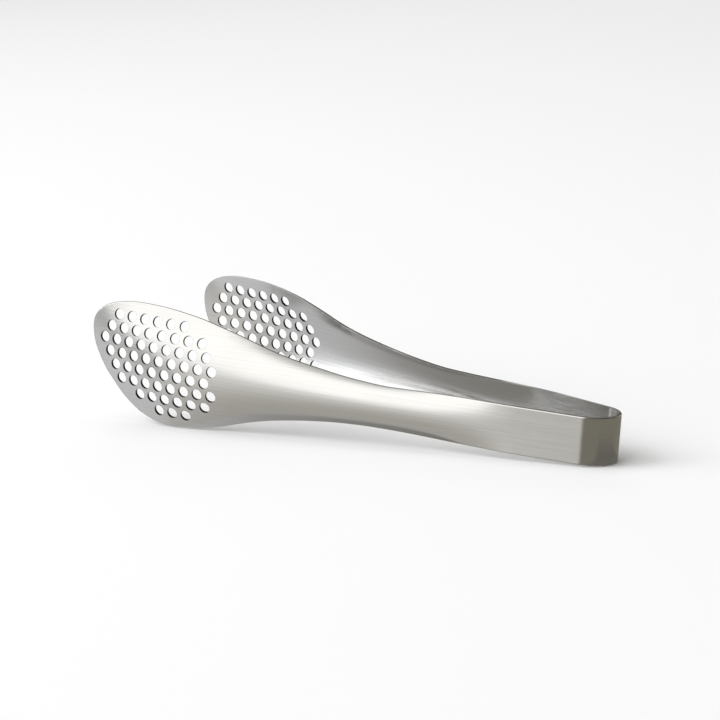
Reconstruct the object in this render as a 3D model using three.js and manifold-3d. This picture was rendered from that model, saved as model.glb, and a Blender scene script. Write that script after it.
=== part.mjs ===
// Perforated serving tongs, pressed from one strip of stainless sheet: a sprung U bend
// and two arms that widen into dished, pierced blades. Millimetres, +Z up. The tongs lie
// on their long edges: +X towards the bend, +Y towards the far arm, the origin on the
// floor under the middle of the whole.
//
// Every curve of an arm is written in the tongs' own axes: s runs along the handle from
// the back of the bend to the tips, w across the width of the strip, and the offset is
// the distance of the arm's outer face from the middle plane between the arms.

import * as THREE from 'three';
import { mergeVertices } from 'three/addons/utils/BufferGeometryUtils.js';
import Module from 'manifold-3d';

const wasm = await Module();
wasm.setup();

// Sheet and bend
const overallLength = 199.25;
const sheetThickness = 1.0;
const stripWidth = 17.1;
const bendOuterRadius = 10.78;
const splayAngle = THREE.MathUtils.degToRad(10.45);
const jointGap = 0.3;

// Outline of waist and blade: heights from the handle's centre line, lobes from the tip
const waistWidth = 16;
const waistStation = 81.7;
const upperLobeHeight = 23.75;
const upperLobeFromTip = 22.05;
const lowerLobeDepth = 20.35;
const lowerLobeFromTip = 36.05;
const tipHeight = 12.7;

// Forming of the sheet: a flat handle, a tight trough at the waist, a shallow spoon that
// curves in towards the tip and ends in a straight nose
const flatHandleLength = 35;
const waistTroughRadius = 11.4;
const dishHalfWidth = 14;
const steepestWall = THREE.MathUtils.degToRad(55);
const bladeCurveRadius = 187;
const bladeCurveFromTip = 61.45;
const straightNoseLength = 16.2;
const crestClimb = 7.3;
const crestClimbFromTip = 35;
const crestClimbPower = 1.2;

// Perforations
const holeDiameter = 4.05;
const holePitch = 5.556;
const rowPitch = 4.665;
const firstHoleFromTip = 11.45;
const middleRowHeight = 1.8;
const rowLean = THREE.MathUtils.degToRad(-0.8);
const rimMargin = 2.6;
const punchOverrun = 1;

// Each row, from the upper one down: its first hole in half pitches towards the bend,
// and its number of holes
const holeRows = [
  { firstHalfPitch: 0, count: 6 },
  { firstHalfPitch: -1, count: 8 },
  { firstHalfPitch: -2, count: 9 },
  { firstHalfPitch: -1, count: 9 },
  { firstHalfPitch: 0, count: 8 },
  { firstHalfPitch: 1, count: 8 },
  { firstHalfPitch: 4, count: 6 },
  { firstHalfPitch: 7, count: 3 },
];

// Facet counts
const bendSegments = 20;
const handleStations = 2;
const troughStations = 12;
const bladeStations = 7;
const noseStations = 7;
const columnsAcross = 8;
const punchSides = 12;

// Each edge from the flat handle to the waist: along share, share of the narrowing
const leadInShares = [[0.40, 0.04], [0.65, 0.42], [0.85, 0.85]];

// Each edge of the blade, from the waist to the crest of its lobe: along share, rise share
const upperFlareShares = [[0.102, 0.038], [0.183, 0.087], [0.266, 0.155], [0.350, 0.231],
  [0.434, 0.327], [0.518, 0.458], [0.601, 0.609], [0.684, 0.744], [0.747, 0.840],
  [0.832, 0.929], [0.919, 0.986]];
const lowerFlareShares = [[0.101, 0.002], [0.194, 0.031], [0.288, 0.088], [0.383, 0.168],
  [0.479, 0.270], [0.576, 0.404], [0.674, 0.587], [0.769, 0.776], [0.865, 0.920],
  [0.964, 0.996]];

// Each edge of the nose, from the crest of its lobe to the tip: along share, height share
const upperNoseShares = [[0.205, 0.991], [0.410, 0.935], [0.596, 0.849], [0.744, 0.743],
  [0.818, 0.649], [0.873, 0.543], [0.924, 0.435], [0.964, 0.332], [0.990, 0.183]];
const lowerNoseShares = [[0.176, 0.985], [0.292, 0.950], [0.394, 0.906], [0.477, 0.849],
  [0.551, 0.789], [0.631, 0.705], [0.711, 0.605], [0.793, 0.505], [0.860, 0.406],
  [0.906, 0.326], [0.945, 0.253], [0.973, 0.178], [0.992, 0.096]];

// How tightly the section is curved: place between the flat handle and the tip, share of
// the waist's curvature
const sectionShares = [[0, 0], [0.091, 0.476], [0.182, 0.858], [0.273, 1], [0.394, 0.891],
  [0.515, 0.662], [0.667, 0.367], [0.788, 0.235], [0.909, 0.163], [1, 0.016]];

// The arm leaves the bend where the arc ends, square to the arm
const tangentStation = bendOuterRadius * (1 - Math.sin(splayAngle));
const tangentOffset = bendOuterRadius * Math.cos(splayAngle);
const armStartStation = tangentStation + jointGap * Math.cos(splayAngle);

// A smooth curve through [place, value] pairs, read by place
function profile(pairs) {
  const places = pairs.map(([place]) => place);
  const values = pairs.map(([, value]) => value);
  const spline = new THREE.CubicInterpolant(places, values, 1);
  return (place) => spline.evaluate(place)[0];
}

const bladeCurveStation = overallLength - bladeCurveFromTip;
const straightNoseStation = overallLength - straightNoseLength;
const upperLobeStation = overallLength - upperLobeFromTip;
const lowerLobeStation = overallLength - lowerLobeFromTip;

// Distance of the crest line from the middle plane: straight, then an arc on the blade,
// then straight again along the nose
function crestOffset(s) {
  const straight = (station) => tangentOffset + (station - tangentStation) * Math.tan(splayAngle);
  if (s < bladeCurveStation) return straight(s);
  const centreStation = bladeCurveStation + bladeCurveRadius * Math.sin(splayAngle);
  const centreOffset = straight(bladeCurveStation) - bladeCurveRadius * Math.cos(splayAngle);
  const arcStation = Math.min(s, straightNoseStation);
  const fromCentre = arcStation - centreStation;
  const arcRise = Math.sqrt(bladeCurveRadius ** 2 - fromCentre ** 2);
  return centreOffset + arcRise - (s - arcStation) * fromCentre / arcRise;
}

// Height of the crest line across the width: level, then climbing towards the tip
function crestHeight(s) {
  const climbShare = Math.max(0, 1 - (overallLength - s) / crestClimbFromTip);
  return crestClimb * climbShare ** crestClimbPower;
}

const sectionCurveShare = profile(sectionShares);

// Curvature of the section at a station, nothing on the flat handle
function sectionCurvature(s) {
  const place = (s - flatHandleLength) / (overallLength - flatHandleLength);
  if (place <= 0) return 0;
  return Math.max(0, sectionCurveShare(Math.min(place, 1))) / waistTroughRadius;
}

// Distance of the outer face from the middle plane at a station and a height: an arc about
// the crest line, then a straight wall where the dish ends or the arc gets too steep
function faceOffset(s, w) {
  const curvature = sectionCurvature(s);
  const across = Math.abs(w - crestHeight(s));
  const onArc = Math.min(across, dishHalfWidth, Math.sin(steepestWall) / curvature);
  const wallCosine = Math.sqrt(1 - (curvature * onArc) ** 2);
  const arcDrop = curvature * onArc ** 2 / (1 + wallCosine);
  const wallDrop = (across - onArc) * curvature * onArc / wallCosine;
  return crestOffset(s) - arcDrop - wallDrop;
}

// A point of the near arm's outer face, on the near side of the middle plane
function facePoint(s, w) {
  return new THREE.Vector3(-s, -faceOffset(s, w), w);
}

// Outward normal of the near arm's outer face, from the slopes of the face
function faceNormal(s, w) {
  const step = sheetThickness / 100;
  const alongTangent = facePoint(s + step, w).sub(facePoint(s - step, w));
  const acrossTangent = facePoint(s, w + step).sub(facePoint(s, w - step));
  return acrossTangent.cross(alongTangent).normalize();
}

// The blade's whole edge from the lower waist round the tip to the upper waist
function bladeEdge() {
  const waist = waistWidth / 2;
  const flare = (shares, lobeStation, lobe, side) => shares.map(([along, rise]) => new THREE.Vector3(
    THREE.MathUtils.lerp(waistStation, lobeStation, along),
    side * THREE.MathUtils.lerp(waist, lobe, rise), 0));
  const nose = (shares, lobeStation, lobeHeight) => shares.map(([along, height]) => new THREE.Vector3(
    THREE.MathUtils.lerp(lobeStation, overallLength, along),
    THREE.MathUtils.lerp(tipHeight, lobeHeight, height), 0));
  const leadIn = (side) => [[0, 0], ...leadInShares, [1, 1]].map(([along, narrowing]) => (
    new THREE.Vector3(THREE.MathUtils.lerp(flatHandleLength, waistStation, along),
      side * THREE.MathUtils.lerp(stripWidth / 2, waist, narrowing), 0)));
  const lower = [
    ...leadIn(-1),
    ...flare(lowerFlareShares, lowerLobeStation, lowerLobeDepth, -1),
    new THREE.Vector3(lowerLobeStation, -lowerLobeDepth, 0),
    ...nose(lowerNoseShares, lowerLobeStation, -lowerLobeDepth),
  ];
  const upper = [
    ...leadIn(1),
    ...flare(upperFlareShares, upperLobeStation, upperLobeHeight, 1),
    new THREE.Vector3(upperLobeStation, upperLobeHeight, 0),
    ...nose(upperNoseShares, upperLobeStation, upperLobeHeight),
  ];
  const tip = new THREE.Vector3(overallLength, tipHeight, 0);
  const curve = new THREE.CatmullRomCurve3([...lower, tip, ...upper.reverse()], false, 'centripetal');
  return { curve, tipParameter: lower.length / (lower.length + upper.length) };
}

const { curve: edgeCurve, tipParameter } = bladeEdge();

// Height of one edge of the arm at a station, found by halving along its side of the edge
function edgeHeight(s, side) {
  if (s <= flatHandleLength) return side * stripWidth / 2;
  if (s >= overallLength) return tipHeight;
  let waistEnd = side < 0 ? 0 : 1;
  let tipEnd = tipParameter;
  for (let halving = 0; halving < 40; halving += 1) {
    const middle = (waistEnd + tipEnd) / 2;
    if (edgeCurve.getPoint(middle).x < s) waistEnd = middle;
    else tipEnd = middle;
  }
  return edgeCurve.getPoint(tipEnd).y;
}

// Stations along the arm, closing up where the nose rounds off
function armStations() {
  const even = (from, to, count) => Array.from({ length: count }, (_, i) => (
    THREE.MathUtils.lerp(from, to, i / count)));
  const noseStart = upperLobeStation;
  const nose = Array.from({ length: noseStations }, (_, i) => (
    noseStart + (overallLength - noseStart) * Math.sin(i / noseStations * Math.PI / 2)));
  return [
    ...even(armStartStation, flatHandleLength, handleStations),
    ...even(flatHandleLength, bladeCurveStation, troughStations),
    ...even(bladeCurveStation, noseStart, bladeStations),
    ...nose,
  ];
}

// The unpierced arm: outer and inner grids, joined round the edge, coming to the tip
function sheetGeometry() {
  const stations = armStations();
  const positions = [];
  const triangles = [];
  const addPair = (s, w) => {
    const outer = facePoint(s, w);
    const inner = outer.clone().addScaledVector(faceNormal(s, w), -sheetThickness);
    positions.push(...outer.toArray(), ...inner.toArray());
  };
  for (const s of stations) {
    const lower = edgeHeight(s, -1);
    const upper = edgeHeight(s, 1);
    for (let j = 0; j <= columnsAcross; j += 1) {
      addPair(s, THREE.MathUtils.lerp(lower, upper, j / columnsAcross));
    }
  }
  addPair(overallLength, tipHeight);

  const rowLength = columnsAcross + 1;
  const outer = (i, j) => 2 * (i * rowLength + j);
  const inner = (i, j) => outer(i, j) + 1;
  const quad = (a, b, c, d) => triangles.push(a, b, c, a, c, d);
  const last = stations.length - 1;
  for (let i = 0; i < last; i += 1) {
    for (let j = 0; j < columnsAcross; j += 1) {
      quad(outer(i, j), outer(i, j + 1), outer(i + 1, j + 1), outer(i + 1, j));
      quad(inner(i, j), inner(i + 1, j), inner(i + 1, j + 1), inner(i, j + 1));
    }
    quad(outer(i, 0), outer(i + 1, 0), inner(i + 1, 0), inner(i, 0));
    quad(outer(i, columnsAcross), inner(i, columnsAcross), inner(i + 1, columnsAcross),
      outer(i + 1, columnsAcross));
  }
  const tipOuter = 2 * stations.length * rowLength;
  const tipInner = tipOuter + 1;
  for (let j = 0; j < columnsAcross; j += 1) {
    quad(outer(0, j), inner(0, j), inner(0, j + 1), outer(0, j + 1));
    triangles.push(outer(last, j), outer(last, j + 1), tipOuter);
    triangles.push(inner(last, j + 1), inner(last, j), tipInner);
  }
  quad(outer(last, 0), tipOuter, tipInner, inner(last, 0));
  quad(outer(last, columnsAcross), inner(last, columnsAcross), tipInner, tipOuter);

  const geometry = new THREE.BufferGeometry();
  geometry.setAttribute('position', new THREE.Float32BufferAttribute(positions, 3));
  geometry.setIndex(triangles);
  return geometry;
}

// A closed mesh as a solid, its shared corners merged
function toSolid(geometry) {
  const bare = geometry.clone();
  bare.deleteAttribute('normal');
  bare.deleteAttribute('uv');
  const merged = mergeVertices(bare);
  return new wasm.Manifold(new wasm.Mesh({
    numProp: 3,
    vertProperties: new Float32Array(merged.attributes.position.array),
    triVerts: new Uint32Array(merged.index.array),
  }));
}

// A solid back as a drawable mesh
function toGeometry(solid) {
  const mesh = solid.getMesh();
  const geometry = new THREE.BufferGeometry();
  geometry.setAttribute('position', new THREE.BufferAttribute(new Float32Array(mesh.vertProperties), 3));
  geometry.setIndex(new THREE.BufferAttribute(new Uint32Array(mesh.triVerts), 1));
  return geometry;
}

// Centres of the perforations that lie clear of the rim, in a staggered lattice
function holeCentres() {
  const centres = [];
  holeRows.forEach(({ firstHalfPitch, count }, row) => {
    for (let i = 0; i < count; i += 1) {
      const towardsBend = (firstHalfPitch / 2 + i) * holePitch;
      const s = overallLength - firstHoleFromTip - towardsBend;
      const rowsDown = row - (holeRows.length - 1) / 2;
      const w = middleRowHeight - rowsDown * rowPitch + towardsBend * Math.tan(rowLean);
      const keep = holeDiameter / 2 + rimMargin - sheetThickness;
      const clearAlong = s + keep < overallLength;
      if (clearAlong && w + keep < edgeHeight(s, 1) && w - keep > edgeHeight(s, -1)) centres.push({ s, w });
    }
  });
  return centres;
}

// One punch, square to the sheet at its centre
function punchGeometry({ s, w }) {
  const length = sheetThickness + 2 * punchOverrun;
  const punch = new THREE.CylinderGeometry(holeDiameter / 2, holeDiameter / 2, length, punchSides);
  const normal = faceNormal(s, w);
  punch.applyQuaternion(new THREE.Quaternion().setFromUnitVectors(new THREE.Vector3(0, 1, 0), normal));
  const middle = facePoint(s, w).addScaledVector(normal, -sheetThickness / 2);
  return punch.translate(middle.x, middle.y, middle.z);
}

// The near arm: the formed sheet with its perforations
function nearArmGeometry() {
  let arm = toSolid(sheetGeometry());
  for (const centre of holeCentres()) arm = arm.subtract(toSolid(punchGeometry(centre)));
  return toGeometry(arm);
}

// The same shape on the other side of the middle plane, its faces turned outwards again
function mirroredGeometry(geometry) {
  const mirrored = geometry.clone().scale(1, -1, 1);
  const { array } = mirrored.index;
  for (let i = 0; i < array.length; i += 3) [array[i + 1], array[i + 2]] = [array[i + 2], array[i + 1]];
  return mirrored;
}

// The sprung bend: a flat strip curled round the back of the tongs
function bendGeometry() {
  const innerRadius = bendOuterRadius - sheetThickness;
  const endAngle = Math.PI / 2 - splayAngle;
  const outline = new THREE.Shape();
  outline.absarc(-bendOuterRadius, 0, bendOuterRadius, -endAngle, endAngle, false);
  outline.absarc(-bendOuterRadius, 0, innerRadius, endAngle, -endAngle, true);
  outline.closePath();
  const strip = new THREE.ExtrudeGeometry(outline, {
    depth: stripWidth, bevelEnabled: false, curveSegments: bendSegments,
  });
  return strip.translate(0, 0, -stripWidth / 2);
}

// Angle between the handle's centre line and the floor: the tongs rest on the lower
// corner of the bend and on the lower edges of the blades
function restAngle() {
  const slopes = armStations().map((s) => (-stripWidth / 2 - edgeHeight(s, -1)) / s);
  return Math.atan(Math.max(...slopes));
}

function steel(color, roughness) {
  return new THREE.MeshStandardMaterial({ color, roughness, metalness: 1 });
}

function namedMesh(name, geometry, material) {
  geometry.computeVertexNormals();
  const mesh = new THREE.Mesh(geometry, material);
  mesh.name = name;
  return mesh;
}

// The whole tongs, leaning on the floor, centred over the origin
function tongs() {
  const near = nearArmGeometry();
  const leaning = new THREE.Group();
  leaning.add(
    namedMesh('spring_bend', bendGeometry(), steel(0x8f8b82, 0.38)),
    namedMesh('near_arm', near, steel(0xb9b8b2, 0.34)),
    namedMesh('far_arm', mirroredGeometry(near), steel(0xb9b8b2, 0.34)),
  );
  leaning.rotation.y = restAngle();

  const whole = new THREE.Group();
  whole.add(leaning);
  const box = new THREE.Box3().setFromObject(whole, true);
  leaning.position.set(-(box.min.x + box.max.x) / 2, 0, -box.min.z);
  return whole;
}

export default tongs();
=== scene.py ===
"""Looks of the perforated serving tongs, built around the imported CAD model.

The tongs are one pressed steel sheet. It is made here as two halves that meet at the
back of the bend. Each is cut as a flat blank, pierced, given its thickness and dulled
edges, and then pressed to the form that the CAD solids have. Lengths of the sheet are
in millimetres, in the tongs' own axes; finished meshes are in metres, in the row frame.
"""

import logging
import math
from dataclasses import dataclass, field
from enum import Enum
from functools import cached_property

import bpy
import numpy as np
from mathutils import Matrix, Vector
from mathutils.geometry import delaunay_2d_cdt


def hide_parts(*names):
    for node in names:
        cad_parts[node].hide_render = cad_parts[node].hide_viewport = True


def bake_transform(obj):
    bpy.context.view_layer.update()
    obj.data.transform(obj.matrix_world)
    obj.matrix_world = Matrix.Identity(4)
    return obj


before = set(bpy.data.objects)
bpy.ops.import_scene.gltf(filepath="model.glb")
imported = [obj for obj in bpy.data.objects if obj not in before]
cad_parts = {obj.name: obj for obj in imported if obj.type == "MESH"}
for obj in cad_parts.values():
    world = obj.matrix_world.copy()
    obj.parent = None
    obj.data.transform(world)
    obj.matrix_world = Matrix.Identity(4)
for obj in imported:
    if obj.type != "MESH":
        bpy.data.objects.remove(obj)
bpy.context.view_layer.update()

LOG = logging.getLogger("tongs")
MM = 0.001
# Places on the blank no farther apart than this, in millimetres, count as one.
SLACK = 0.01

Pair = tuple[float, float]
Pairs = tuple[Pair, ...]
Triple = tuple[float, float, float]
Triples = tuple[Triple, ...]
Colour = Triple | bpy.types.NodeSocket


class Side(Enum):
    """Which arm of the tongs a half belongs to."""

    NEAR = "near"
    FAR = "far"

    @property
    def outward(self) -> int:
        """Direction of the arm's outer face along Y."""
        return -1 if self is Side.NEAR else 1


# ---- shader helpers


class Level:
    """A number in a shader, whose arithmetic adds Math nodes."""

    def __init__(self, shade: "Shade", socket: bpy.types.NodeSocket) -> None:
        """Wraps the socket that carries the number."""
        self.shade = shade
        self.socket = socket

    def math(self, operation: str, *values: "Level | float") -> "Level":
        """Adds one Math node.

        Args:
            operation: The node's operation.
            values: Its inputs, in order.

        Returns:
            The node's result.
        """
        node = self.shade.node(
            "ShaderNodeMath", {"operation": operation}, dict(enumerate(values))
        )
        return Level(self.shade, node.outputs[0])

    def __add__(self, other: "Level | float") -> "Level":
        """Sum of this number and another."""
        return self.math("ADD", self, other)

    def __sub__(self, other: "Level | float") -> "Level":
        """This number less another."""
        return self.math("SUBTRACT", self, other)

    def __mul__(self, other: "Level | float") -> "Level":
        """Product of this number and another."""
        return self.math("MULTIPLY", self, other)

    def __truediv__(self, other: "Level | float") -> "Level":
        """This number divided by another."""
        return self.math("DIVIDE", self, other)

    __radd__ = __add__
    __rmul__ = __mul__

    def step(self, low: float, high: float) -> "Level":
        """A soft step from 0 at low to 1 at high.

        Args:
            low: Where the step starts.
            high: Where it ends.

        Returns:
            The step's height.
        """
        node = self.shade.node(
            "ShaderNodeMapRange",
            {"interpolation_type": "SMOOTHSTEP"},
            {"Value": self, "From Min": low, "From Max": high},
        )
        return Level(self.shade, node.outputs["Result"])


class Shade:
    """Builds one node tree."""

    def __init__(self, tree: bpy.types.NodeTree) -> None:
        """Takes a node tree over and empties it."""
        self.tree = tree
        tree.nodes.clear()

    def node(
        self, kind: str, settings: dict | None = None, sockets: dict | None = None
    ) -> bpy.types.Node:
        """Adds a node.

        Args:
            kind: The node's type.
            settings: Its own properties.
            sockets: Values or links of its inputs, by name or number.

        Returns:
            The new node.
        """
        made = self.tree.nodes.new(kind)
        for name, value in (settings or {}).items():
            setattr(made, name, value)
        for name, value in (sockets or {}).items():
            if isinstance(value, Level):
                value = value.socket
            if isinstance(value, bpy.types.NodeSocket):
                self.tree.links.new(value, made.inputs[name])
            else:
                made.inputs[name].default_value = value
        return made

    def blend(
        self, factor: Level, first: Colour, second: Colour
    ) -> bpy.types.NodeSocket:
        """Mixes two colours.

        Args:
            factor: The second colour's share.
            first: The first colour, or the socket that carries it.
            second: The second colour, likewise.

        Returns:
            The socket of the mix.
        """
        colours = [(*c, 1.0) if isinstance(c, tuple) else c for c in (first, second)]
        node = self.node(
            "ShaderNodeMix",
            {"data_type": "RGBA"},
            {"Factor": factor, 6: colours[0], 7: colours[1]},
        )
        return node.outputs[2]

    def level(self, node: bpy.types.Node, output: str | int = 0) -> Level:
        """A node's output as a number."""
        return Level(self, node.outputs[output])

    def light(
        self, share: Level, rows: Triples, strength: float
    ) -> bpy.types.NodeSocket:
        """Light that changes over a distance or an angle.

        Args:
            share: 0 where the rows start to 1 where they end.
            rows: (place, brightness, warmth) rows in order.
            strength: What the light is multiplied by later on.

        Returns:
            The socket of its colour.
        """
        start, length = rows[0][0], rows[-1][0] - rows[0][0]
        node = self.node("ShaderNodeValToRGB", None, {0: share})
        stops = node.color_ramp.elements
        while len(stops) < len(rows):
            stops.new(0.5)
        for stop, (place, level, warmth) in zip(stops, rows):
            stop.position = (place - start) / length
            stop.color = (*tinted(level / strength, warmth), 1.0)
        return node.outputs[0]

    def metal(self, tone: Colour, roughness: Level, height: Level) -> None:
        """Ends the tree with a metal.

        Args:
            tone: Its base colour.
            roughness: Its roughness.
            height: Its relief in millimetres.
        """
        bump = self.node(
            "ShaderNodeBump", None, {"Strength": 1.0, "Distance": MM, "Height": height}
        )
        shader = self.node(
            "ShaderNodeBsdfPrincipled",
            None,
            {
                "Base Color": tone,
                "Metallic": 1.0,
                "Roughness": roughness,
                "Normal": bump.outputs[0],
            },
        )
        self.node("ShaderNodeOutputMaterial", None, {"Surface": shader.outputs[0]})


def tinted(level: float, warmth: float) -> Triple:
    """A brightness as a colour; warmth dims its green a little and its blue more."""
    return tuple(level * (1 - warmth * share) for share in (0, 0.4, 1.6))


def new_material(name: str) -> tuple[bpy.types.Material, Shade]:
    """Makes a material whose node tree is still empty.

    Args:
        name: The material's name.

    Returns:
        The material and the builder of its tree.
    """
    material = bpy.data.materials.new(name)
    material.use_nodes = True
    return material, Shade(material.node_tree)


# ---- finishes


@dataclass(frozen=True)
class Streaks:
    """Noise drawn out along the strip, on the flat blank's own coordinates.

    A streak's length and width are in millimetres; octaves add finer noise.
    """

    length: float
    width: float
    octaves: float

    def level(self, shade: Shade) -> Level:
        """Adds the noise to a node tree.

        Args:
            shade: The tree's builder.

        Returns:
            The pattern, about 0 to 1 and 0.5 in the mean.
        """
        blank = shade.node("ShaderNodeUVMap", {"uv_map": "blank"})
        scale = (1 / self.length, 1 / self.width, 1.0)
        placed = shade.node(
            "ShaderNodeMapping", None, {"Vector": blank.outputs[0], "Scale": scale}
        )
        noise = shade.node(
            "ShaderNodeTexNoise",
            {"noise_dimensions": "2D"},
            {"Vector": placed.outputs[0], "Scale": 1.0, "Detail": self.octaves},
        )
        return shade.level(noise)


@dataclass(frozen=True)
class BrushedSteel:
    """Stainless sheet with fine brush lines along the strip."""

    name: str = "brushed_sheet"
    light: Triple = (0.680, 0.675, 0.658)
    dark: Triple = (0.565, 0.560, 0.543)
    hair: Streaks = Streaks(length=14.0, width=0.10, octaves=2.0)
    band: Streaks = Streaks(length=45.0, width=0.70, octaves=3.0)
    smudge: Streaks = Streaks(length=16.0, width=9.0, octaves=3.0)
    hair_share: float = 0.45
    band_share: float = 0.55
    hair_height: float = 0.0095
    band_height: float = 0.0170
    roughness: float = 0.16
    roughness_swing: float = 0.14

    def material(self) -> bpy.types.Material:
        """Makes the material: hair lines, broader bands and faint smudges.

        Returns:
            The new material.
        """
        material, shade = new_material(self.name)
        hair, band, smudge = (
            streaks.level(shade) for streaks in (self.hair, self.band, self.smudge)
        )
        light_share = hair * self.hair_share + band * self.band_share
        swing = hair * 0.5 + smudge * 0.5 - 0.5
        shade.metal(
            shade.blend(light_share, self.dark, self.light),
            self.roughness + self.roughness_swing * swing,
            hair * self.hair_height + band * self.band_height,
        )
        return material


@dataclass(frozen=True)
class CutEdge:
    """A cut edge of the sheet, with faint marks; near-black on the holes' walls, as
    painted shade.
    """

    name: str
    light: Triple
    dark: Triple
    roughness: float
    mark_height: float
    marks: Streaks = Streaks(length=3.0, width=0.15, octaves=2.0)
    roughness_swing: float = 0.08

    def material(self) -> bpy.types.Material:
        """Makes the material.

        Returns:
            The new material.
        """
        material, shade = new_material(self.name)
        marks = self.marks.level(shade)
        shade.metal(
            shade.blend(marks, self.dark, self.light),
            self.roughness + self.roughness_swing * (marks - 0.5),
            marks * self.mark_height,
        )
        return material


DEBURRED = CutEdge(
    "cut_edge",
    light=(0.74, 0.73, 0.71),
    dark=(0.62, 0.61, 0.59),
    roughness=0.14,
    mark_height=0.0030,
)
# The holes' walls are the sheet's own steel; their near-black tone is painted shade in
# the holes.
SHADED_HOLE_WALL = CutEdge(
    "hole_wall_painted_shade",
    light=(0.07, 0.068, 0.065),
    dark=(0.03, 0.029, 0.028),
    roughness=0.30,
    mark_height=0.0060,
)


# ---- pressed form


@dataclass
class PressedForm:
    """The form of one arm and its half of the bend, with the CAD part's own sizes.

    A point of the sheet is told by its run along the strip, by its height across it and
    by its depth under the outer face. On the arm the run is the station, which is the
    distance from the back of the bend, and on the bend it goes on as the arc's length.
    """

    overall_length: float = 199.225
    thickness: float = 1.0
    strip_width: float = 17.1
    bend_radius: float = 10.78
    splay: float = math.radians(10.445)
    waist_width: float = 16.0
    waist_station: float = 81.7
    upper_lobe_height: float = 23.75
    upper_lobe_from_tip: float = 22.05
    lower_lobe_depth: float = 20.35
    lower_lobe_from_tip: float = 36.05
    tip_height: float = 12.7
    flat_length: float = 35.0
    trough_radius: float = 11.4
    dish_half_width: float = 14.0
    steepest_wall: float = math.radians(55)
    blade_curve_radius: float = 187.0
    blade_curve_from_tip: float = 61.45
    nose_length: float = 16.2
    crest_climb: float = 7.3
    crest_climb_from_tip: float = 35.0
    crest_climb_power: float = 1.2
    rest_angle: float = 0.07318622
    rest_place: Triple = (98.5814026, 0.0, 8.5271126)
    least_curvature: float = 1e-9
    lead_in: Pairs = ((0.40, 0.04), (0.65, 0.42), (0.85, 0.85))
    upper_flare: Pairs = (
        (0.102, 0.038), (0.183, 0.087), (0.266, 0.155), (0.350, 0.231),
        (0.434, 0.327), (0.518, 0.458), (0.601, 0.609), (0.684, 0.744),
        (0.747, 0.840), (0.832, 0.929), (0.919, 0.986),
    )
    lower_flare: Pairs = (
        (0.101, 0.002), (0.194, 0.031), (0.288, 0.088), (0.383, 0.168),
        (0.479, 0.270), (0.576, 0.404), (0.674, 0.587), (0.769, 0.776),
        (0.865, 0.920), (0.964, 0.996),
    )
    upper_nose: Pairs = (
        (0.218, 0.987), (0.395, 0.947), (0.547, 0.882), (0.681, 0.795),
        (0.795, 0.681), (0.882, 0.547), (0.947, 0.395), (0.987, 0.218),
    )
    lower_nose: Pairs = (
        (0.176, 0.985), (0.292, 0.950), (0.394, 0.906), (0.477, 0.849),
        (0.551, 0.789), (0.631, 0.705), (0.711, 0.605), (0.793, 0.505),
        (0.860, 0.406), (0.906, 0.326), (0.945, 0.253), (0.973, 0.178),
        (0.992, 0.096),
    )
    section: Pairs = (
        (-0.02, 0.0), (0.091, 0.476), (0.182, 0.858), (0.273, 1.0), (0.394, 0.891),
        (0.515, 0.662), (0.667, 0.367), (0.788, 0.235), (0.909, 0.163), (1.0, 0.016),
    )

    @cached_property
    def tangent_station(self) -> float:
        """Station where the flat handle runs into the bend."""
        return self.bend_radius * (1 - math.sin(self.splay))

    @cached_property
    def seam_run(self) -> float:
        """Run of the back of the bend, where the two halves meet."""
        return self.tangent_station - self.bend_radius * (math.pi / 2 - self.splay)

    def crest_offset(self, s: np.ndarray) -> np.ndarray:
        """Distance of the crest line's outer face from the middle plane.

        Args:
            s: Stations.

        Returns:
            The distances.
        """
        slope, radius = math.tan(self.splay), self.blade_curve_radius
        start = self.overall_length - self.blade_curve_from_tip
        tangent_offset = self.bend_radius * math.cos(self.splay)
        straight = tangent_offset + (s - self.tangent_station) * slope
        centre_s = start + radius * math.sin(self.splay)
        start_offset = tangent_offset + (start - self.tangent_station) * slope
        centre = start_offset - radius * math.cos(self.splay)
        on_arc = np.clip(s, start, self.overall_length - self.nose_length)
        rise = np.sqrt(radius**2 - (on_arc - centre_s) ** 2)
        curved = centre + rise - (s - on_arc) * (on_arc - centre_s) / rise
        return np.where(s < start, straight, curved)

    def crest_height(self, s: np.ndarray) -> np.ndarray:
        """Height of the crest line, which climbs towards the tip."""
        share = 1 - (self.overall_length - s) / self.crest_climb_from_tip
        return self.crest_climb * np.clip(share, 0, None) ** self.crest_climb_power

    def section_curvature(self, s: np.ndarray) -> np.ndarray:
        """How tightly the section is curved, from nothing on the flat handle.

        Args:
            s: Stations.

        Returns:
            The curvatures.
        """
        place = (s - self.flat_length) / (self.overall_length - self.flat_length)
        share = smooth_profile(np.array(self.section), np.minimum(place, 1.0))
        return np.where(place <= self.section[0][0], 0.0, share) / self.trough_radius

    def face_offset(self, s: np.ndarray, w: np.ndarray) -> np.ndarray:
        """Distance of the outer face from the middle plane.

        Args:
            s: Stations.
            w: Heights across the strip.

        Returns:
            The distances.
        """
        curvature = np.maximum(self.section_curvature(s), self.least_curvature)
        across = np.abs(w - self.crest_height(s))
        steep = math.sin(self.steepest_wall) / curvature
        on_arc = np.minimum(np.minimum(across, self.dish_half_width), steep)
        cosine = np.sqrt(1 - (curvature * on_arc) ** 2)
        arc_drop = curvature * on_arc**2 / (1 + cosine)
        wall_drop = (across - on_arc) * curvature * on_arc / cosine
        return self.crest_offset(s) - arc_drop - wall_drop

    def outer_face(self, run: np.ndarray, w: np.ndarray) -> np.ndarray:
        """Points of the far arm's outer face in the tongs' own axes.

        Args:
            run: Runs along the strip.
            w: Heights across it.

        Returns:
            One row of x, y, z for each.
        """
        radius = self.bend_radius
        angle = (math.pi / 2 - self.splay) - (self.tangent_station - run) / radius
        on_bend = np.stack(
            [-radius + radius * np.cos(angle), radius * np.sin(angle), w], axis=-1
        )
        on_arm = np.stack([-run, self.face_offset(run, w), w], axis=-1)
        return np.where((run < self.tangent_station)[..., None], on_bend, on_arm)

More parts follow.
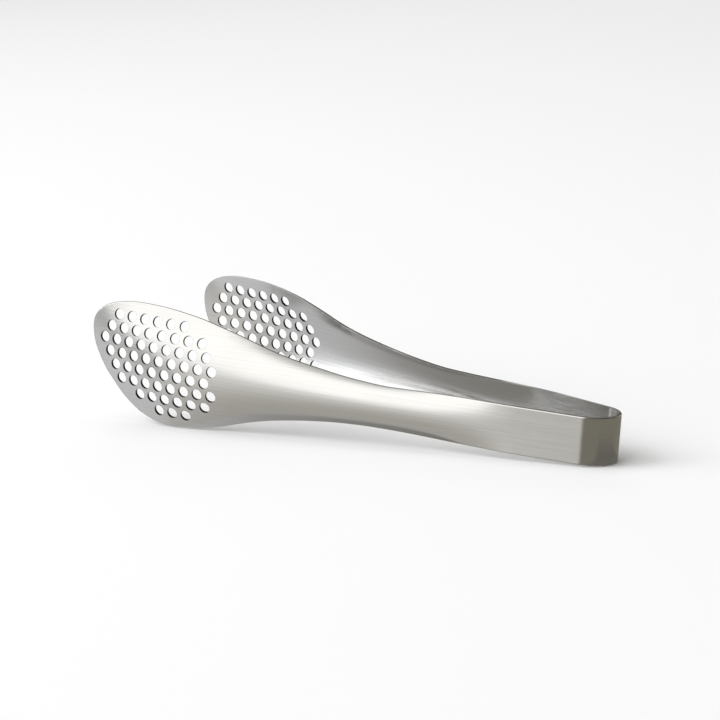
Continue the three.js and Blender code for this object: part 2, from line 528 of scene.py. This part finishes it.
    def steps(
        self, run: np.ndarray, w: np.ndarray, step: float
    ) -> tuple[np.ndarray, np.ndarray]:
        """How far the outer face goes on over a step back and ahead, both ways.

        Args:
            run: Runs along the strip.
            w: Heights across it.
            step: The step, in millimetres of the flat blank.

        Returns:
            The vectors along the strip and those across it.
        """
        along = self.outer_face(run + step, w) - self.outer_face(run - step, w)
        across = self.outer_face(run, w + step) - self.outer_face(run, w - step)
        return along, across

    def outer_frame(self, run: np.ndarray, w: np.ndarray) -> tuple[np.ndarray, ...]:
        """Directions along the sheet, across it and out of it, on the far arm.

        Args:
            run: Runs along the strip.
            w: Heights across it.

        Returns:
            Three arrays of unit vectors.
        """
        along, across = self.steps(run, w, step=0.01)
        out = unit(np.cross(along, across))
        return unit(along), unit(np.cross(out, along)), out

    def to_row(self, points: np.ndarray) -> np.ndarray:
        """Own axes in millimetres to the row frame in metres."""
        return (self.turn_to_row(points) + np.array(self.rest_place)) * MM

    def turn_to_row(self, vectors: np.ndarray) -> np.ndarray:
        """Turns directions from the own axes to the row frame."""
        c, s = math.cos(self.rest_angle), math.sin(self.rest_angle)
        return vectors @ np.array([[c, 0, s], [0, 1, 0], [-s, 0, c]]).T

    def side_edge(self, side: int, lobe: Pair, flare: Pairs, nose: Pairs) -> list[Pair]:
        """The cut edge along one side, from the flat handle over the lobe.

        Args:
            side: 1 for the upper side, -1 for the lower one.
            lobe: The lobe's top, as its distance from the tip and from the middle.
            flare: Shares of the way from the waist to the lobe's top.
            nose: Shares of the way from there to the tip.

        Returns:
            Rows of run and height, up to just before the tip.
        """
        handle = (self.flat_length, side * self.strip_width / 2)
        waist = (self.waist_station, side * self.waist_width / 2)
        station, height = self.overall_length - lobe[0], side * lobe[1]
        return (
            between(handle, waist, ((0.0, 0.0), *self.lead_in, (1.0, 1.0)))
            + between(waist, (station, height), (*flare, (1.0, 1.0)))
            + between((station, self.tip_height), (self.overall_length, height), nose)
        )

    def edge(self) -> np.ndarray:
        """The cut edge of one arm, from the lower end of the flat handle round the tip.

        Returns:
            Rows of run and height.
        """
        upper_lobe = (self.upper_lobe_from_tip, self.upper_lobe_height)
        upper = self.side_edge(1, upper_lobe, self.upper_flare, self.upper_nose)
        lower_lobe = (self.lower_lobe_from_tip, self.lower_lobe_depth)
        lower = self.side_edge(-1, lower_lobe, self.lower_flare, self.lower_nose)
        tip = (self.overall_length, self.tip_height)
        return flowing_curve(np.array([*lower, tip, *reversed(upper)]))


def mix(a: float, b: float, share: float) -> float:
    """The value a share of the way from a to b."""
    return a + (b - a) * share


def between(start: Pair, end: Pair, shares: Pairs) -> list[Pair]:
    """Points at shares of the way from start to end, one for each direction."""
    return [(mix(start[0], end[0], a), mix(start[1], end[1], b)) for a, b in shares]


def unit(vectors: np.ndarray) -> np.ndarray:
    """Vectors of length one, in the same directions."""
    return vectors / np.linalg.norm(vectors, axis=-1, keepdims=True)


def smooth_profile(pairs: np.ndarray, place: np.ndarray) -> np.ndarray:
    """A smooth curve through (place, value) pairs, level where it starts.

    Args:
        pairs: The pairs in order.
        place: Where to read it.

    Returns:
        The values, never below zero.
    """
    x, y = pairs[:, 0], pairs[:, 1]
    slope = np.gradient(y, x)
    slope[0] = 0.0
    i = np.clip(np.searchsorted(x, place) - 1, 0, len(x) - 2)
    h = x[i + 1] - x[i]
    t = np.clip((place - x[i]) / h, 0.0, 1.0)
    value = (
        (1 + 2 * t) * (1 - t) ** 2 * y[i]
        + t * (1 - t) ** 2 * h * slope[i]
        + t**2 * (3 - 2 * t) * y[i + 1]
        + t**2 * (t - 1) * h * slope[i + 1]
    )
    return np.maximum(value, 0.0)


def flowing_curve(points: np.ndarray, each: int = 24) -> np.ndarray:
    """A centripetal curve through points, finely divided.

    Args:
        points: The points in order.
        each: Divisions of each span.

    Returns:
        The points of the curve.
    """
    padded = np.vstack([2 * points[0] - points[1], points, 2 * points[-1] - points[-2]])
    knots = np.concatenate(
        [[0.0], np.cumsum(np.linalg.norm(np.diff(padded, axis=0), axis=1) ** 0.5)]
    )
    rounds = (((0, 1), (1, 2), (2, 3)), ((0, 2), (1, 3)), ((1, 2),))
    out = []
    for i in range(1, len(padded) - 2):
        p, k = padded[i - 1 : i + 3], knots[i - 1 : i + 3]
        t = np.linspace(k[1], k[2], each, endpoint=False)[:, None]
        for ends in rounds:
            p = [
                ((k[b] - t) * first + (t - k[a]) * second) / (k[b] - k[a])
                for (a, b), first, second in zip(ends, p, p[1:])
            ]
        out.append(p[0])
    return np.vstack([*out, points[-1:]])


# ---- perforations


@dataclass
class Perforations:
    """Round holes in staggered rows on the blade.

    Each row has its first hole's place, in half pitches back from the first of all, and
    its number of holes. The stretch of pressing is measured over the step.
    """

    diameter: float = 4.05
    pitch: float = 5.556
    row_pitch: float = 4.665
    first_from_tip: float = 11.45
    middle_height: float = 1.8
    lean: float = math.radians(-0.8)
    sides: int = 32
    step: float = 0.05
    rows: Pairs = (
        (0, 6), (-1, 8), (-2, 9), (-1, 9), (0, 8), (1, 8), (4, 6), (7, 3),
    )

    def centres(self, form: PressedForm) -> np.ndarray:
        """Centres of the holes.

        Args:
            form: The arm that they are in.

        Returns:
            Rows of station and height.
        """
        out = []
        for row, (first_half_pitch, count) in enumerate(self.rows):
            rows_down = row - (len(self.rows) - 1) / 2
            height = self.middle_height - rows_down * self.row_pitch
            for i in range(count):
                back = (first_half_pitch / 2 + i) * self.pitch
                station = form.overall_length - self.first_from_tip - back
                out.append((station, height + back * math.tan(self.lean)))
        return np.array(out)

    def rims(self, form: PressedForm) -> list[np.ndarray]:
        """Rims that come out round once the blank is pressed.

        Args:
            form: The arm that they are in.

        Returns:
            One closed ring of runs and heights for each hole.
        """
        turns = np.linspace(0, 2 * math.pi, self.sides, endpoint=False)
        circle = np.stack([np.cos(turns), np.sin(turns)]) * self.diameter / 2
        rings = []
        for centre in self.centres(form):
            ways = form.steps(centre[:1], centre[1:], self.step)
            jacobian = np.vstack(ways) / (2 * self.step)
            values, vectors = np.linalg.eigh(jacobian @ jacobian.T)
            shrink = vectors @ np.diag(values**-0.5) @ vectors.T
            rings.append(centre + (shrink @ circle).T)
        return rings


# ---- sub-parts


@dataclass
class SheetHalf:
    """One half of the sheet: half the bend, the flat handle, the trough and the blade.

    The grid is the spacing of its net. A face stands or lies where the upward part of
    its normal is under or over the limit.
    """

    side: Side
    form: PressedForm = field(default_factory=PressedForm)
    holes: Perforations = field(default_factory=Perforations)
    grid: float = 0.9
    clearance: float = 0.55
    seam_strip: float = 0.04
    rim_clearance: float = 0.80
    edge_radius: float = 0.45
    inner_edge_share: float = 0.12
    hole_edge_share: float = 0.10
    edge_segments: int = 4
    smooth_angle: float = math.radians(40)
    standing: float = 0.5
    lying: float = 0.999
    wall_slack: float = 0.1
    flex_start: float = 6.0
    flex_end: float = 42.0

    @property
    def name(self) -> str:
        """The piece's name."""
        return f"{self.side.value}_half"

    @property
    def turned(self) -> int:
        """1 or -1: heights run up or down the blank, whose top is the outer face."""
        return self.side.outward

    @property
    def mirror(self) -> np.ndarray:
        """What turns the far arm's points and directions into this side's."""
        return np.array([1.0, self.side.outward, 1.0])

    def outline(self) -> np.ndarray:
        """The blank's edge as a closed loop of evenly spaced points.

        Returns:
            Rows of run and height, starting at the lower end of the seam.
        """
        half = self.form.strip_width / 2
        seam = self.form.seam_run
        handle = np.arange(seam + self.grid, self.form.flat_length, self.grid)
        handle = np.concatenate([[seam, seam + self.seam_strip], handle])
        lower = np.stack([handle, np.full_like(handle, -half)], axis=1)
        upper = np.stack([handle[::-1], np.full_like(handle, half)], axis=1)
        seam_heights = np.linspace(half, -half, self.columns(2 * half) + 1)[1:-1]
        seam_line = np.stack([np.full_like(seam_heights, seam), seam_heights], axis=1)
        return np.vstack([lower, evenly(self.form.edge(), self.grid), upper, seam_line])

    def columns(self, width: float) -> int:
        """Number of spans across a width."""
        return max(2, round(width / self.grid))

    def inner_points(self, outline: np.ndarray, centres: np.ndarray) -> np.ndarray:
        """Points that divide the blank's face, clear of its edge and of the holes.

        Args:
            outline: The blank's edge.
            centres: The holes' centres.

        Returns:
            Rows of run and height.
        """
        form = self.form
        seam, half = form.seam_run, form.strip_width / 2
        edge = form.edge()
        tip = int(np.argmax(edge[:, 0]))
        lower, upper = edge[: tip + 1], edge[tip:][::-1]
        runs = np.arange(seam + self.grid, form.overall_length, self.grid)
        points = []
        for run in np.concatenate([[seam + self.seam_strip], runs]):
            low, high = -half, half
            if run > form.flat_length:
                low = np.interp(run, lower[:, 0], lower[:, 1])
                high = np.interp(run, upper[:, 0], upper[:, 1])
            heights = np.linspace(low, high, self.columns(high - low) + 1)[1:-1]
            points.append(np.stack([np.full_like(heights, run), heights], axis=1))
        points = np.vstack(points)
        to_hole = distances(points, centres).min(axis=1)
        keep = to_hole > self.holes.diameter / 2 + self.clearance
        blade = points[:, 0] > form.waist_station
        rim = outline[outline[:, 0] > form.waist_station]
        to_rim = distances(points[blade], rim).min(axis=1)
        keep[blade] &= to_rim > self.rim_clearance
        return points[keep]

    def flat_blank(self) -> bpy.types.Object:
        """The pierced blank as a flat face, its runs along X and its heights along Y.

        No operator lays round holes in a fine even net, so the net is made from its
        points, its edge and its rims.

        Returns:
            The new object.
        """
        outline, rims = self.outline(), self.holes.rims(self.form)
        centres = self.holes.centres(self.form)
        points = np.vstack([outline, *rims, self.inner_points(outline, centres)])
        points[:, 1] *= self.turned
        flat, faces = triangle_net(points, [outline, *rims])
        middles = flat[faces].mean(axis=1)[:, :2] * (1, self.turned)
        reach = [np.linalg.norm(rim - rim.mean(axis=0), axis=1).max() for rim in rims]
        in_hole = distances(middles, centres) < np.array(reach) - SLACK
        faces = faces[~in_hole.any(axis=1)]
        mesh = bpy.data.meshes.new(self.name)
        mesh.from_pydata(flat.tolist(), [], faces.tolist())
        mesh.update()
        blank = bpy.data.objects.new(self.name, mesh)
        bpy.context.collection.objects.link(blank)
        return blank

    def in_hole(self, places: np.ndarray) -> np.ndarray:
        """Tells which places lie on the wall of a hole.

        Args:
            places: Rows of run and height.

        Returns:
            One truth value for each.
        """
        reach = self.holes.diameter / 2 + self.wall_slack
        blade = places[:, 0] > self.form.waist_station
        gaps = distances(places[blade], self.holes.centres(self.form))
        found = np.zeros(len(places), bool)
        found[blade] = gaps.min(axis=1) < reach
        return found

    def thicken(self, blank: bpy.types.Object) -> None:
        """Gives the blank its thickness below the outer face and dulls its cut edges.

        Args:
            blank: The flat blank.
        """
        apply_modifier(
            blank, "SOLIDIFY", thickness=self.form.thickness, offset=-1.0,
            use_even_offset=False,
        )
        self.mark_cut_edges(blank.data)
        apply_modifier(
            blank, "BEVEL", width=self.edge_radius, segments=self.edge_segments,
            limit_method="WEIGHT", use_clamp_overlap=False, loop_slide=True,
        )
        select_only(blank)
        bpy.ops.object.shade_smooth_by_angle(angle=self.smooth_angle)
        apply_modifier(blank, "WEIGHTED_NORMAL", keep_sharp=True, weight=100)

    def mark_cut_edges(self, mesh: bpy.types.Mesh) -> None:
        """Marks the blank's rims for the bevel, all but those of the seam.

        The outer rim gets the full width, the inner rim and the holes a share of it.

        Args:
            mesh: The thickened blank.
        """
        points = read_vertices(mesh)
        pairs = read(mesh.edges, "vertices", 2, np.int32)
        stands = np.abs(polygon_normals(mesh)[:, 2]) < self.standing
        walls = {
            key
            for polygon, upright in zip(mesh.polygons, stands)
            if upright
            for key in polygon.edge_keys
        }
        middles = points[pairs].mean(axis=1)
        half = self.form.thickness / 2
        level = np.abs(points[pairs[:, 0], 2] - points[pairs[:, 1], 2]) < half
        rim = np.array([tuple(sorted(pair)) in walls for pair in pairs.tolist()])
        seam = middles[:, 0] < self.form.seam_run + SLACK
        hole = self.in_hole(middles[:, :2] * (1, self.turned))
        inner = np.where(middles[:, 2] < -half, self.inner_edge_share, 1.0)
        share = np.where(hole, self.hole_edge_share, inner)
        weight = np.where(rim & level & ~seam, share, 0.0)
        attribute = mesh.attributes.new("bevel_weight_edge", "FLOAT", "EDGE")
        attribute.data.foreach_set("value", weight.astype(np.float32))

    def press(self, blank: bpy.types.Object) -> None:
        """Forms the blank: every point goes to its place on the pressed sheet.

        Args:
            blank: The flat blank with its thickness.
        """
        mesh = blank.data
        flat = read_vertices(mesh)
        run, w, depth = flat[:, 0], flat[:, 1] * self.turned, -flat[:, 2]
        face = self.form.outer_face(run, w)
        along, across, out = self.form.outer_frame(run, w)
        placed = self.form.to_row((face - out * depth[:, None]) * self.mirror)

        normals = read(mesh.corner_normals, "vector", 3)
        corner = read(mesh.loops, "vertex_index", 1, np.int32).ravel()
        turned = (
            normals[:, :1] * along[corner]
            + normals[:, 1:2] * self.turned * across[corner]
            + normals[:, 2:] * out[corner]
        )
        turned = unit(self.form.turn_to_row(turned * self.mirror))

        layer = mesh.uv_layers.new(name="blank")
        places = np.stack([run, w + depth], axis=1)[corner]
        layer.data.foreach_set("uv", places.astype(np.float32).ravel())
        mesh.polygons.foreach_set("material_index", self.finish_numbers(mesh))
        mesh.vertices.foreach_set("co", placed.astype(np.float32).ravel())
        mesh.update()
        mesh.normals_split_custom_set(turned.tolist())

    def finish_numbers(self, mesh: bpy.types.Mesh) -> np.ndarray:
        """Sorts the flat blank's faces by finish.

        Args:
            mesh: The blank with its thickness.

        Returns:
            For each face 0 on the sheet's two sides, 1 on its cut edge, 2 in a hole
            (painted shade).
        """
        middles = read(mesh.polygons, "center", 3)[:, :2] * (1, self.turned)
        lies = np.abs(polygon_normals(mesh)[:, 2]) > self.lying
        numbers = np.where(lies, 0, np.where(self.in_hole(middles), 2, 1))
        return numbers.astype(np.int32)

    def build(self) -> bpy.types.Object:
        """Cuts, thickens and presses the half.

        Returns:
            The finished piece, not yet dressed.
        """
        piece = self.flat_blank()
        self.thicken(piece)
        self.press(piece)
        return piece

    def dress(self, piece: bpy.types.Object, finishes: list) -> None:
        """Gives the piece its finishes, bakes its transform and hides the CAD parts it
        stands in for.

        Args:
            piece: The finished piece.
            finishes: The materials of the sheet, its cut edge and its holes' walls, the
                last near-black as painted shade.
        """
        for finish in finishes:
            piece.data.materials.append(finish)
        stations = np.array([self.flex_start, self.flex_end])
        face = self.form.outer_face(stations, np.zeros(2)) * self.mirror
        start, end = self.form.to_row(face)
        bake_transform(piece)
        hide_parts(f"{self.side.value}_arm", "spring_bend")


def distances(points: np.ndarray, others: np.ndarray) -> np.ndarray:
    """One row for each point, with its distances from all the others."""
    return np.linalg.norm(points[:, None] - others[None], axis=2)


def evenly(line: np.ndarray, spacing: float) -> np.ndarray:
    """A line divided again into even spans.

    Args:
        line: The line's points.
        spacing: About how long each span is.

    Returns:
        The new points, the two ends kept.
    """
    run = np.concatenate(
        [[0.0], np.cumsum(np.linalg.norm(np.diff(line, axis=0), axis=1))]
    )
    at = np.linspace(0, run[-1], round(run[-1] / spacing) + 1)
    return np.stack([np.interp(at, run, line[:, i]) for i in range(2)], axis=1)


def triangle_net(
    points: np.ndarray, loops: list[np.ndarray]
) -> tuple[np.ndarray, np.ndarray]:
    """Joins points by triangles that all face up and keep to closed loops.

    Args:
        points: Rows of x and y, those of the loops first, in the loops' order.
        loops: The loops.

    Returns:
        The points with z at 0, and three point numbers for each triangle.
    """
    links, first = [], 0
    for loop in loops:
        numbers = np.arange(len(loop)) + first
        links += list(zip(numbers.tolist(), np.roll(numbers, -1).tolist()))
        first += len(loop)
    inside, merge_distance = 1, 1e-5
    net = delaunay_2d_cdt(
        [Vector(point) for point in points], links, [], inside, merge_distance
    )
    flat = np.array([(*point, 0.0) for point in net[0]])
    faces = np.array([face for face in net[2] if len(face) == 3])
    a, b, c = (flat[faces[:, i]] for i in range(3))
    down = np.cross(b - a, c - a)[:, 2] < 0
    faces[down] = faces[down][:, ::-1]
    return flat, faces


def read(
    items: bpy.types.bpy_prop_collection, name: str, width: int, kind: type = np.float32
) -> np.ndarray:
    """Reads one property of all items of a mesh.

    Args:
        items: The vertices, edges, corners or faces.
        name: The property.
        width: How many numbers it holds.
        kind: The numbers' type.

    Returns:
        One row for each item.
    """
    flat = np.zeros(len(items) * width, kind)
    items.foreach_get(name, flat)
    return flat.reshape(-1, width)


def read_vertices(mesh: bpy.types.Mesh) -> np.ndarray:
    """The mesh's points as rows of x, y, z."""
    return read(mesh.vertices, "co", 3).astype(float)


def polygon_normals(mesh: bpy.types.Mesh) -> np.ndarray:
    """The faces' normals as rows of x, y, z."""
    return read(mesh.polygon_normals, "vector", 3)


def select_only(obj: bpy.types.Object) -> None:
    """Makes one object the only one selected, and active.

    Args:
        obj: The object.
    """
    for other in bpy.context.selected_objects:
        other.select_set(False)
    obj.select_set(True)
    bpy.context.view_layer.objects.active = obj


def apply_modifier(obj: bpy.types.Object, kind: str, **settings: object) -> None:
    """Adds a modifier and applies it.

    Args:
        obj: The object that it shapes.
        kind: The modifier's type.
        settings: Its properties.
    """
    select_only(obj)
    modifier = obj.modifiers.new(kind.lower(), kind)
    for name, value in settings.items():
        setattr(modifier, name, value)
    bpy.ops.object.modifier_apply(modifier=modifier.name)


# ---- stage


def direction(azimuth: float, elevation: float) -> Vector:
    """The direction at an azimuth from the near side and an elevation."""
    level, up = math.cos(elevation), math.sin(elevation)
    return Vector((math.sin(azimuth) * level, -math.cos(azimuth) * level, up))


def looking_matrix(back: Vector, place: Vector, roll: float) -> Matrix:
    """The matrix of a camera or lamp that looks away from its back.

    Args:
        back: The direction behind it.
        place: Where it stands.
        roll: Its turn about the line of sight.

    Returns:
        The world matrix.
    """
    right = Vector((0, 0, 1)).cross(back).normalized()
    upright = Matrix((right, back.cross(right), back)).transposed()
    turned = upright @ Matrix.Rotation(roll, 3, "Z")
    return Matrix.Translation(place) @ turned.to_4x4()


@dataclass
class Floor:
    """A plain pale floor, in whose place the steel mirrors the surround."""

    size: float = 24.0
    drop: float = 0.00004
    tone: Triple = (0.845, 0.845, 0.853)

    def build(self) -> None:
        """Lays the floor."""
        bpy.ops.object.select_all(action="DESELECT")
        bpy.ops.mesh.primitive_plane_add(size=self.size, location=(0, 0, -self.drop))
        floor = bpy.context.active_object
        floor.name = "studio_floor"
        floor.visible_glossy = False
        material, shade = new_material("pale_floor")
        shader = shade.node("ShaderNodeBsdfDiffuse", None, {"Color": (*self.tone, 1.0)})
        shade.node("ShaderNodeOutputMaterial", None, {"Surface": shader.outputs[0]})
        floor.data.materials.append(material)


@dataclass
class ShadeCard:
    """A glowing card under the tongs that only the steel mirrors: a painted reflection
    of the floor's shade between the arms and beside the bend, darkest near the bend.

    Its corners are in metres, and its rows are (place along X, brightness, warmth).
    """

    corners: Pairs = (
        (-0.104, -0.0295), (-0.040, -0.0353), (0.088, -0.0119), (0.100, -0.0125),
        (0.130, -0.022), (0.130, 0.015), (0.100, 0.0125), (0.088, 0.0119),
        (-0.040, 0.0353), (-0.104, 0.0295),
    )
    rows: Triples = (
        (-0.104, 0.70, -0.02), (-0.080, 0.66, -0.02), (-0.060, 0.60, -0.01),
        (-0.045, 0.52, 0.0), (-0.030, 0.42, 0.01), (-0.010, 0.35, 0.03),
        (0.010, 0.32, 0.05), (0.040, 0.29, 0.07), (0.086, 0.28, 0.07),
        (0.095, 0.20, 0.08), (0.106, 0.18, 0.10), (0.130, 0.24, 0.12),
    )
    strength: float = 1.0

    def build(self) -> None:
        """Lays the card."""
        mesh = bpy.data.meshes.new("shade_card")
        corners = [(x, y, 0.0) for x, y in self.corners]
        mesh.from_pydata(corners, [], [tuple(range(len(corners)))])
        card = bpy.data.objects.new("shade_card", mesh)
        bpy.context.collection.objects.link(card)
        card.visible_camera = card.visible_diffuse = card.visible_shadow = False
        material, shade = new_material("shade_card")
        place = shade.node("ShaderNodeTexCoord").outputs["Object"]
        axes = shade.node("ShaderNodeSeparateXYZ", None, {0: place})
        start, end = self.rows[0][0], self.rows[-1][0]
        along = (shade.level(axes) - start) / (end - start)
        colour = shade.light(along, self.rows, self.strength)
        # The card glows with painted shade instead of being lit: dim between the arms,
        # darkest at the bend.
        glow = shade.node(
            "ShaderNodeEmission", None, {"Color": colour, "Strength": self.strength}
        )
        shade.node("ShaderNodeOutputMaterial", None, {"Surface": glow.outputs[0]})
        mesh.materials.append(material)


@dataclass(frozen=True)
class Patch:
    """An oval of the surround that is dimmer or brighter by a factor.

    The factor holds in the core and fades from there to the rim. Both are told by the
    square of their share of the half sizes, which are in degrees like the angles.
    """

    azimuth: float
    elevation: float
    half_width: float
    half_height: float
    factor: float
    core: float = 0.15
    rim: float = 1.0

    def add(
        self, shade: Shade, azimuth: Level, elevation: Level, colour: Colour
    ) -> bpy.types.NodeSocket:
        """Puts the patch on the surround.

        Args:
            shade: The world's node tree.
            azimuth: Azimuth of the direction, in radians.
            elevation: Its elevation, likewise.
            colour: The surround's colour there without the patch.

        Returns:
            The socket of the colour with it.
        """
        aside = (azimuth - math.radians(self.azimuth)) / math.radians(self.half_width)
        above = elevation - math.radians(self.elevation)
        above = above / math.radians(self.half_height)
        away_squared = aside * aside + above * above
        level = 1.0 + away_squared.step(self.rim, self.core) * (self.factor - 1.0)
        scaled = shade.node(
            "ShaderNodeVectorMath",
            {"operation": "SCALE"},
            {"Vector": colour, "Scale": level},
        )
        return scaled.outputs[0]


@dataclass
class Surround:
    """The studio around the tongs, which the steel mirrors.

    Azimuth runs from the near side, positive towards the bend. Each part is told by
    (elevation in degrees, brightness, warmth) rows. From the near side towards the tips
    they are the window, its left end, the wall at the back left, and the walls, which
    also take up the whole side of the bend. A part's "from" says in degrees where it
    sets in and is full; the window's leans by a share of the elevation.
    """

    window: Triples = (
        (-90, 0.30, 0.08), (-70, 0.42, 0.08), (-60, 0.50, 0.08), (-50, 0.53, 0.08),
        (-40, 0.55, 0.07), (-30, 0.61, 0.06), (-20, 0.73, 0.04), (-12, 0.86, 0.03),
        (-5, 0.95, 0.02), (0, 1.14, 0.01), (5, 1.40, 0.01), (10, 1.56, 0.01),
        (15, 1.61, 0.01), (30, 1.64, 0.01), (46, 1.64, 0.01), (53, 1.46, 0.01),
        (58, 1.12, 0.01), (61, 0.90, 0.02), (67, 0.76, 0.03), (75, 0.64, 0.04),
        (90, 0.52, 0.04),
    )
    window_left: Triples = (
        (-90, 0.28, 0.0), (-70, 0.42, 0.0), (-60, 0.50, 0.0), (-50, 0.63, -0.01),
        (-40, 0.73, -0.02), (-30, 0.79, -0.03), (-20, 0.85, -0.03), (-12, 0.89, -0.03),
        (-5, 0.96, -0.03), (0, 1.26, -0.03), (4, 1.68, -0.03), (8, 1.84, -0.03),
        (15, 1.90, -0.03), (30, 1.90, -0.03), (46, 1.86, -0.03), (54, 1.46, -0.02),
        (59, 1.06, 0.0), (62, 0.80, 0.02), (67, 0.64, 0.03), (75, 0.58, 0.04),
        (90, 0.52, 0.04),
    )
    back_left: Triples = (
        (-90, 0.28, 0.03), (-50, 0.37, 0.01), (-30, 0.44, -0.01), (-18, 0.42, -0.01),
        (-8, 0.34, 0.0), (-2, 0.42, -0.01), (4, 0.48, -0.01), (12, 0.38, -0.01),
        (20, 0.26, 0.0), (40, 0.17, 0.02), (62, 0.10, 0.03), (76, 0.26, 0.04),
        (90, 0.52, 0.04),
    )
    walls: Triples = (
        (-90, 0.28, 0.09), (-45, 0.27, 0.14), (-18, 0.25, 0.14), (0, 0.265, 0.12),
        (7, 0.20, 0.13), (14, 0.10, 0.12), (60, 0.10, 0.06), (76, 0.24, 0.04),
        (90, 0.50, 0.04),
    )
    window_from: Pair = (4.5, -4.5)
    left_from: Pair = (-20, -55)
    back_left_from: Pair = (-57, -65)
    walls_from: Pair = (-149, -153)
    patches: tuple[Patch, ...] = (
        Patch(-36.5, -6, half_width=9, half_height=13, factor=0.56),
        Patch(-116, 5, half_width=30, half_height=7, factor=6.50),
        Patch(-138, 38, half_width=16, half_height=36, factor=4.00),
        Patch(-148, -9, half_width=16, half_height=12, factor=3.60),
        Patch(178, 22, half_width=22, half_height=30, factor=5.00),
    )
    lean: float = 0.2
    strength: float = 2.0

    def build(self) -> None:
        """Makes the world's surroundings."""
        world = bpy.data.worlds.new("studio")
        bpy.context.scene.world = world
        world.use_nodes = True
        shade = Shade(world.node_tree)
        heading = shade.node("ShaderNodeTexCoord").outputs["Generated"]
        axes = shade.node("ShaderNodeSeparateXYZ", None, {0: heading})
        x, y, z = (shade.level(axes, i) for i in range(3))
        elevation = z.math("ARCSINE", z)
        upwards = elevation * (1 / math.pi) + 0.5
        azimuth = x.math("ARCTAN2", x, y * -1.0)
        turns = (
            (azimuth - elevation * self.lean, self.window_from, self.window),
            (azimuth, self.left_from, self.window_left),
            (azimuth, self.back_left_from, self.back_left),
            (azimuth, self.walls_from, self.walls),
        )
        colour = shade.light(upwards, self.walls, self.strength)
        for turn, (start, full), rows in turns:
            share = turn.step(math.radians(start), math.radians(full))
            part = shade.light(upwards, rows, self.strength)
            colour = shade.blend(share, colour, part)
        for patch in self.patches:
            colour = patch.add(shade, azimuth, elevation, colour)
        background = shade.node(
            "ShaderNodeBackground", None, {"Color": colour, "Strength": self.strength}
        )
        shade.node("ShaderNodeOutputWorld", None, {"Surface": background.outputs[0]})


@dataclass(frozen=True)
class SoftLamp:
    """A large lamp that lights the floor; neither the steel nor the camera sees it.

    Angles are in degrees, lengths in metres and power in watts.
    """

    name: str
    azimuth: float
    elevation: float
    distance: float
    size: float
    power: float

    def build(self) -> None:
        """Hangs the lamp, turned to the tongs."""
        data = bpy.data.lights.new(self.name, "AREA")
        data.size = self.size
        data.energy = self.power
        lamp = bpy.data.objects.new(self.name, data)
        bpy.context.collection.objects.link(lamp)
        back = direction(math.radians(self.azimuth), math.radians(self.elevation))
        lamp.matrix_world = looking_matrix(back, back * self.distance, roll=0.0)
        lamp.visible_glossy = lamp.visible_camera = False


LAMPS = (
    SoftLamp("key_lamp", -55, 36, distance=3.0, size=2.2, power=54.0),
    SoftLamp("top_lamp", -120, 80, distance=3.4, size=3.4, power=51.0),
    SoftLamp("fill_lamp", 5, 24, distance=3.0, size=2.4, power=18.0),
    SoftLamp("back_lamp", -155, 26, distance=3.2, size=1.6, power=8.0),
)


@dataclass
class PhotoCamera:
    """The camera at the photograph's place."""

    place: Triple = (0.5202817, -0.8456300, 0.2192238)
    azimuth: float = math.radians(31.8827)
    elevation: float = math.radians(10.9911)
    roll: float = math.radians(0.1207)
    lens: float = 139.666
    sensor_width: float = 36.0
    nearest: float = 0.01
    farthest: float = 50.0

    def build(self) -> None:
        """Makes the scene's camera."""
        data = bpy.data.cameras.new("photo_camera")
        data.lens = self.lens
        data.sensor_width = self.sensor_width
        data.clip_start, data.clip_end = self.nearest, self.farthest
        camera = bpy.data.objects.new("photo_camera", data)
        bpy.context.collection.objects.link(camera)
        back = direction(self.azimuth, self.elevation)
        camera.matrix_world = looking_matrix(back, Vector(self.place), self.roll)
        bpy.context.scene.camera = camera


def main() -> None:
    """Builds the tongs, the floor, the surroundings and the camera."""
    logging.basicConfig(level=logging.INFO, format="%(name)s: %(message)s")
    bpy.context.scene.view_settings.view_transform = "Standard"
    PhotoCamera().build()
    Surround().build()
    for lamp in LAMPS:
        lamp.build()
    Floor().build()
    ShadeCard().build()
    finishes = [finish.material() for finish in (BrushedSteel(), DEBURRED, SHADED_HOLE_WALL)]
    for side in Side:
        half = SheetHalf(side)
        piece = half.build()
        half.dress(piece, finishes)
        LOG.info("%s: %d faces", piece.name, len(piece.data.polygons))


if __name__ == "__main__":
    main()
